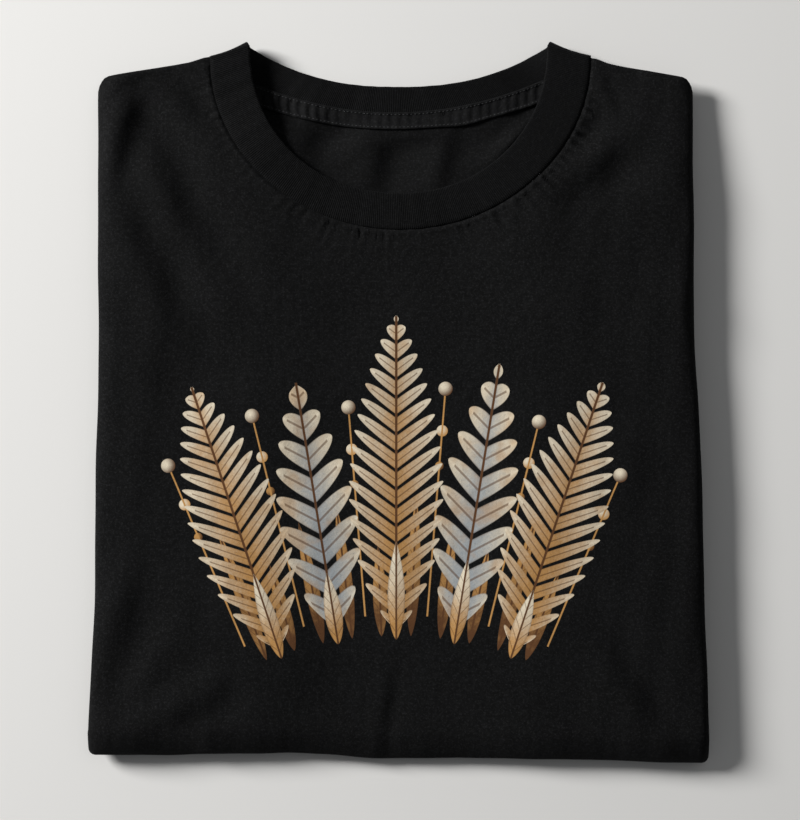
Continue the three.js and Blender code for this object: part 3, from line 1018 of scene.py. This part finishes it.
def new_group(name, build, inputs):
    """A node group with the outputs that build() returns by name."""
    tree = bpy.data.node_groups.new(name, "ShaderNodeTree")
    for socket in inputs:
        kind = GROUP_INPUT_TYPES.get(socket, "NodeSocketFloat")
        tree.interface.new_socket(name=socket, in_out="INPUT", socket_type=kind)
    given, result = tree.nodes.new("NodeGroupInput"), tree.nodes.new("NodeGroupOutput")
    made = build(Wiring(tree), **{socket: Value(tree, given.outputs[socket]) for socket in inputs})
    for socket, value in made.items():
        kind = GROUP_OUTPUT_TYPES.get(socket, "NodeSocketFloat")
        tree.interface.new_socket(name=socket, in_out="OUTPUT", socket_type=kind)
        connect(value, result.inputs[socket])
    return tree


def make_material(name, look, roughness, sheen, bump=0.0):
    """The material of this name. look() wires its colour, its height and, where it varies, its roughness."""
    if name in bpy.data.materials:
        return bpy.data.materials[name]
    material = bpy.data.materials.new(name)
    material.use_nodes = True
    w = Wiring(material.node_tree)
    shade, height, *varied = look(w, bpy.context.scene.shirt_colours)
    settings = {"Base Color": shade, "Roughness": varied[0] if varied else roughness, "Sheen Weight": sheen,
                "Sheen Roughness": 0.45, "Sheen Tint": (0.8, 0.82, 0.88), "Specular IOR Level": 0.1}
    if bump:
        settings["Normal"] = w.value("Bump", 0, {"Strength": 1.0, "Distance": bump, "Height": height})
    shader = material.node_tree.nodes["Principled BSDF"]
    for socket, value in settings.items():
        connect(value, shader.inputs[socket])
    return material


# --- Materials ---

# Knitted columns and rows in each metre of jersey, how rough it looks and how much less rough the ink is
JERSEY_LOOPS = {"wales": 1350, "courses": 1600}
COTTON_ROUGHNESS = 0.94
INK_SMOOTHNESS = 0.12
KNIT_RELIEF = 0.085 * MM


def knitted_loops(w, place, wales, courses):
    """Height of rows of knitted loops, from a place in metres and the wales and courses in each metre."""
    across = w.part("X", place) * wales
    slant = w.part("Y", place) * courses + abs(across.fraction() - 0.5) * 1.1
    yarn = (slant * FULL_TURN).sine() * 0.3 + 0.7
    wale = (across.fraction() * math.pi).sine().at_least(0.0)
    return {"height": yarn * wale ** 0.6}


def washed_cotton(w, place, dye, worn, fading):
    """Pale fibres, soft fading in patches, and the height of the fuzz."""
    fibres = w.noise(place, 820, 3.0, 0.75)
    flecks = w.ramp(fibres, 0.51, 0.67)
    patches = w.ramp(w.noise(place, 26, 4.0, 0.6), 0.35, 0.75)
    heather = w.ramp(w.noise(place, 380, 3.0, 0.65), 0.40, 0.70)
    share = (flecks * 0.66 + heather * 0.24 + patches * 0.10) * fading
    return {"colour": w.mix(share.at_most(1.0), dye, worn), "height": fibres * 0.6 + heather * 0.5}


def metric_place(w):
    """The piece's own UV map turned back into metres."""
    corner = (UV_CENTRE[0] - UV_SPAN / 2, UV_CENTRE[1] - UV_SPAN / 2, 0)
    return w.value("Mapping", 0, {"Vector": w.value("UVMap", 0, {}, uv_map="Cloth"), "Location": corner,
                                  "Scale": (UV_SPAN, UV_SPAN, 1)})


def washed_knit(w, place, dye, fading, wales, courses):
    """Colour and height of washed knitwear."""
    worn = bpy.context.scene.shirt_colours.jersey_worn
    fuzz = w.group(washed_cotton, place=place, dye=dye, worn=worn, fading=fading)
    knit = w.group(knitted_loops, place=place, wales=wales, courses=courses)
    return fuzz["colour"], knit["height"] * 0.3 + fuzz["height"]


def jersey_material():
    """Jersey inside the shirt: less faded, and darker as painted shade where it shows inside the neck."""
    def look(w, colours):
        # Fading 0.8: partly the less worn inside, partly painted shade inside the neck.
        return washed_knit(w, metric_place(w), colours.jersey, 0.8, **JERSEY_LOOPS)
    return make_material("Washed black jersey", look, COTTON_ROUGHNESS, 0.02, bump=KNIT_RELIEF)


def rib_material():
    def look(w, colours):
        pitch = bpy.context.scene.shirt_trim.rib_pitch
        place = metric_place(w)
        shade, height = washed_knit(w, place, colours.rib, 0.66, 1 / pitch, 1300)
        raised = w.ramp((w.part("X", place) * (FULL_TURN / pitch)).sine(), -0.7, 0.6)
        # The grooves between the ribs are mixed towards a darker colour: painted shade.
        return w.mix(raised * 0.5 + 0.5, (0.002, 0.002, 0.0022), shade), raised * 2.0 + height
    return make_material("Black rib knit", look, 0.93, 0.015, bump=0.16 * MM)


def tape_material():
    def look(w, colours):
        return washed_knit(w, metric_place(w), colours.tape, 0.9, 1100, 1400)
    return make_material("Black neck tape", look, 0.9, 0.02, bump=0.12 * MM)


def thread_material():
    def look(w, colours):
        twist = w.noise(w.value("TexCoord", "Object", {}), 2600, 1.0)
        return w.mix(twist, darker(colours.thread, 0.6), colours.thread), twist
    return make_material("Black sewing thread", look, 0.6, 0.1, bump=0.05 * MM)


def floor_material():
    def look(w, colours):
        cloud = w.noise(w.value("TexCoord", "Object", {}), 3.0, 3.0)
        return w.mix(cloud * 0.15, colours.floor, darker(colours.floor, 0.9)), 0.0
    return make_material("Pale floor", look, 0.85, 0.0)


def darker(colour, share):
    return [part * share for part in colour]


def front_material():
    """Jersey with the leaf print on the chest. The knit and a little wear show through the ink."""
    def look(w, colours):
        place = metric_place(w)
        cloth, height = washed_knit(w, place, colours.jersey, 1.0, **JERSEY_LOOPS)
        printed, ink = print_layers(w, place, cloth, colours)
        worn = w.ramp(w.noise(place, 900, 3.0, 0.7), 0.30, 0.46)
        patches = w.ramp(w.noise(place, 90, 3.0, 0.6), 0.25, 0.45)
        on_chest = w.part("Y", place) > LOW[1] + 30 * MM
        mask = ink * (worn * 0.22 + 0.78) * (patches * 0.1 + 0.9) * on_chest
        return w.mix(mask, cloth, printed), ink * 0.5 + height, mask * -INK_SMOOTHNESS + COTTON_ROUGHNESS
    return make_material("Printed black jersey", look, COTTON_ROUGHNESS, 0.02, bump=KNIT_RELIEF)


# --- Leaf print ---

FAN_BASE = (-1 * MM, -340 * MM)
LEAFLET_SLANT = 0.75
TINY = 0.0001


def spokes(w, place, step, offset, reach, length, shorten, vary):
    """Places along and across the nearest spoke of a fan, the length of that spoke, and 1 inside the fan."""
    x, y = w.part("X", place), w.part("Y", place)
    radius = (x * x + y * y).root()
    angle = x.then("ARCTAN2", y)
    nearest = (angle / step - offset).then("ROUND")
    lean = (nearest + offset) * step
    off = angle - lean
    length = length - lean * lean * shorten + (nearest * 2.3 + 0.9).sine() * vary
    return radius * off.then("COSINE"), radius * off.sine(), length, abs(lean) < reach


def fan_of_sprigs(w, width, inner, leaflets, **fan):
    """A fan of sprigs: rows of slanted round leaflets on both sides of each stem."""
    along, across, length, inside = spokes(w, **fan)
    away = abs(across)
    foot = along - away * LEAFLET_SLANT
    run = (foot - inner) / (length - inner)
    eased = run.at_least(TINY).at_most(1.0) ** 0.62
    swell = (eased * math.pi).sine().at_least(TINY) ** 0.75
    out = away / (swell * width).at_most(foot * fan["step"] * 0.46).at_least(0.5 * MM)
    cell = abs((foot * leaflets).fraction() - 0.5)
    round_end = (1.0 - out ** 2.4).at_least(0.0).root()
    leaf = w.ramp(round_end * 0.43 - cell, 0.0, 0.05) * (run > 0.0) * (run < 1.0) * inside
    stem = (1.0 - w.ramp(away, 0.5 * MM, 0.9 * MM)) * (along < length) * (along > inner) * inside
    rib = (1.0 - w.ramp(cell, 0.02, 0.07)) * (out < 0.8) * 0.7
    return {"leaf": leaf.at_least(stem), "vein": (rib * leaf).at_least(stem),
            "along": (run * 0.4 + out * 0.6).at_least(0.0).at_most(1.0), "side": cell * 2.3}


def fan_of_blades(w, width, inner, **fan):
    """A fan of single smooth blades with a midrib and curved side veins."""
    along, across, length, inside = spokes(w, **fan)
    run = (along - inner) / (length - inner)
    eased = run.at_least(TINY).at_most(1.0) ** 0.8
    half = (eased * math.pi).sine().at_least(0.0) ** 0.8 * width
    away = abs(across)
    leaf = w.ramp(half - away, 0.0, 0.4 * MM) * (run > 0.0) * (run < 1.0) * inside
    midrib = 1.0 - w.ramp(away, 0.3 * MM, 0.8 * MM)
    line = abs(((along - away ** 0.8 * 0.55) * 160).fraction() - 0.5)
    side_vein = (1.0 - w.ramp(line, 0.03, 0.10)) * 0.55
    return {"leaf": leaf, "vein": midrib.at_least(side_vein) * leaf, "along": run,
            "side": across / half.at_least(0.5 * MM)}


def berry_spray(w, width, inner, **fan):
    """A fan of round berries, each on a thin stalk. The width is the radius of a berry."""
    along, across, length, inside = spokes(w, **fan)
    far = along - length

    def distance(shift):
        a, b = far - width * shift, across + width * shift
        return (a * a + b * b).root()

    berry = w.ramp(width - distance(0.0), 0.0, 0.3 * MM)
    stalk = (1.0 - w.ramp(abs(across), 0.3 * MM, 0.7 * MM)) * (far < 0.0) * (along > inner)
    return {"berry": berry * inside, "stalk": stalk * inside, "shade": distance(0.35) / width}


def print_layers(w, place, cloth, colours):
    """Fans of berries, blades and sprigs over the cloth. Gives the colour and the mask of the ink."""
    ivory, ochre, brown, slate = colours.ivory, colours.ochre, colours.brown, colours.slate
    spot = w.value("Mapping", 0, {"Vector": place, "Location": (-FAN_BASE[0], -FAN_BASE[1], 0)})
    engraving = w.noise(place, 620, 2.0, 0.6)
    stains = w.ramp(w.noise(place, 42, 3.0, 0.6), 0.48, 0.66)
    shade, ink = cloth, 0.0

    def add(over, mask):
        nonlocal shade, ink
        shade, ink = w.mix(mask, shade, over), mask.at_least(ink)

    def leaves(build, base, tip, **shape):
        made = w.group(build, place=spot, **shape)
        body = w.mix(w.ramp(engraving * 0.3 + made["along"], 0.25, 0.95), base, tip)
        body = w.mix(stains * 0.45, body, ochre)
        body = w.mix(w.ramp(made["side"], -0.1, 0.3) * 0.22, body, brown)
        body = w.mix(w.ramp(abs(made["side"]), 0.7, 1.0) * 0.45, body, brown)
        add(w.mix(made["vein"], body, brown), made["leaf"])

    def fruit(skin, lit, **shape):
        made = w.group(berry_spray, place=spot, **shape)
        add(ochre, made["stalk"])
        add(w.mix(w.ramp(made["shade"], 0.1, 1.5), lit, skin), made["berry"])

    turn = math.radians
    apart = turn(18.4)
    for size, length, skin, lit in ((0.0026, 0.302, brown, ochre), (0.0034, 0.322, ochre, ivory),
                                    (0.0042, 0.346, brown, ivory)):
        fruit(skin, lit, step=apart / 2, offset=0.5, reach=turn(24), length=length, shorten=0.10, vary=0.006,
              width=size, inner=0.220)
    leaves(fan_of_blades, brown, ochre, step=apart / 4, offset=0.5, reach=turn(22), length=0.276,
           shorten=0.03, vary=0.016, width=0.0042, inner=0.208)
    leaves(fan_of_sprigs, slate, ivory, step=apart, offset=0.5, reach=turn(20), length=0.367,
           shorten=0.16, vary=0.006, width=0.0225, inner=0.214, leaflets=56)
    leaves(fan_of_sprigs, ochre, ivory, step=apart, offset=0.0, reach=turn(24), length=0.388,
           shorten=0.16, vary=0.003, width=0.0270, inner=0.212, leaflets=96)
    leaves(fan_of_blades, ochre, ivory, step=apart / 2, offset=0.0, reach=turn(22), length=0.256,
           shorten=0.03, vary=0.008, width=0.0052, inner=0.206)
    return shade, ink


# --- Stage ---

PICTURE_WIDTH = 800
PIXELS_PER_MM = 1.75
VIEW_WIDTH = PICTURE_WIDTH / PIXELS_PER_MM * MM
VIEW_CENTRE = (1.14 * MM, -3.14 * MM)
CAMERA_HEIGHT = 1.5
CLIP_END = 20
FLOOR_SIZE = 6
LIGHTS = {"key": {"place": (-2.30, 1.08, 1.34), "size": 0.98, "energy": 156},
          "fill": {"place": (0.9, 0.9, 2.2), "size": 2.0, "energy": 4}}
ROOM_COLOUR = (0.93, 0.96, 1.0, 1)
ROOM_STRENGTH = 0.14


def aim(thing, target):
    """Turn a light so that it shines at a point."""
    direction = Vector(target) - thing.location
    thing.rotation_euler = direction.to_track_quat("-Z", "Y").to_euler()


class SHIRT_OT_stage(bpy.types.Operator):
    """Set the pale floor, the soft light and the camera straight above."""
    bl_idname = "shirt.stage"
    bl_label = "Stage"

    def execute(self, context):
        scene = context.scene
        bpy.ops.object.select_all(action="DESELECT")
        bpy.ops.mesh.primitive_plane_add(size=FLOOR_SIZE, location=(0, 0, 0))
        floor = context.active_object
        floor.name = "floor"
        floor.data.materials.append(floor_material())

        world = bpy.data.worlds.new("Soft room")
        world.use_nodes = True
        background = world.node_tree.nodes["Background"]
        background.inputs["Color"].default_value = ROOM_COLOUR
        background.inputs["Strength"].default_value = ROOM_STRENGTH
        scene.world = world

        for name, setting in LIGHTS.items():
            light = bpy.data.lights.new(name, "AREA")
            light.shape = "DISK"
            light.size = setting["size"]
            light.energy = setting["energy"]
            lamp = bpy.data.objects.new(name, light)
            lamp.location = setting["place"]
            scene.collection.objects.link(lamp)
            aim(lamp, (0, 0, 0))

        camera = bpy.data.objects.new("camera", bpy.data.cameras.new("camera"))
        camera.location = (*VIEW_CENTRE, CAMERA_HEIGHT)
        camera.data.sensor_fit = "HORIZONTAL"
        camera.data.angle = 2 * math.atan(VIEW_WIDTH / 2 / (CAMERA_HEIGHT - HALF_STACK))
        camera.data.clip_end = CLIP_END
        scene.collection.objects.link(camera)
        scene.camera = camera
        scene.view_settings.view_transform = "Standard"
        return {"FINISHED"}


# --- Add-on ---

OPERATORS = (SHIRT_OT_front_panel, SHIRT_OT_back_panel, SHIRT_OT_sleeves, SHIRT_OT_collar, SHIRT_OT_neck_tape,
             SHIRT_OT_hem_stitches, SHIRT_OT_stage)
SETTINGS = (("shirt_cloth", ShirtCloth), ("shirt_trim", ShirtTrim), ("shirt_colours", ShirtColours))


class SHIRT_PT_panel(bpy.types.Panel):
    """Lists the settings and the steps of the shirt."""
    bl_idname = "SHIRT_PT_panel"
    bl_label = "Folded T-shirt"
    bl_space_type = "VIEW_3D"
    bl_region_type = "UI"
    bl_category = "T-shirt"

    def draw(self, context):
        for name, group in SETTINGS:
            box = self.layout.box()
            for setting in group.__annotations__:
                box.prop(getattr(context.scene, name), setting)
        for operator in OPERATORS:
            self.layout.operator(operator.bl_idname)


CLASSES = (*(group for _, group in SETTINGS), *OPERATORS, SHIRT_PT_panel)


def register():
    for item in CLASSES:
        bpy.utils.register_class(item)
    for name, group in SETTINGS:
        setattr(bpy.types.Scene, name, PointerProperty(type=group))


def unregister():
    for name, _ in SETTINGS:
        delattr(bpy.types.Scene, name)
    for item in reversed(CLASSES):
        bpy.utils.unregister_class(item)


def main():
    register()
    for operator in OPERATORS:
        group, step = operator.bl_idname.split(".")
        getattr(getattr(bpy.ops, group), step)()


if __name__ == "__main__":
    main()
